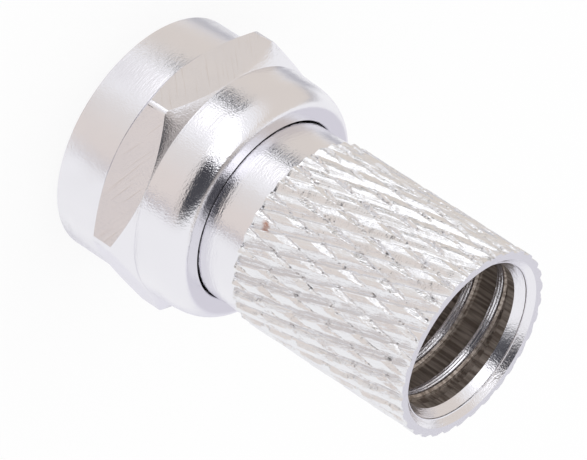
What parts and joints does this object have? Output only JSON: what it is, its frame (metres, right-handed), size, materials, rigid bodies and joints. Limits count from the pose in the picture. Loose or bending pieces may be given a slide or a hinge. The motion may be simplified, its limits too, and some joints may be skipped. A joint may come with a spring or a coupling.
{
  "type": "twist-on F connector plug",
  "caption": "Nickel-plated twist-on F plug for 7 mm coaxial cable: knurled sleeve with a captive, spinning hex coupling nut.",
  "frame": {"origin": "centre of the coupling nut's front face, which the part stands on", "axes": "+Z along the connector's axis, from the port end to the cable end; +X through a corner of the hex nut"},
  "size_m": [0.0126, 0.011, 0.018],
  "materials": {
    "nut_plate": "bright nickel plate over turned brass",
    "sleeve_plate": "bright nickel plate over turned and knurled brass"
  },
  "bodies": {
    "plug_body": {"sleeve": "sleeve_plate"},
    "nut": {"coupling_nut": "nut_plate"}
  },
  "joints": [
    {"name": "nut_spin", "type": "hinge", "parent": "plug_body", "child": "nut", "pos_m": [0, 0, 0.0058], "axis": [0, 0, 1], "continuous": true}
  ]
}
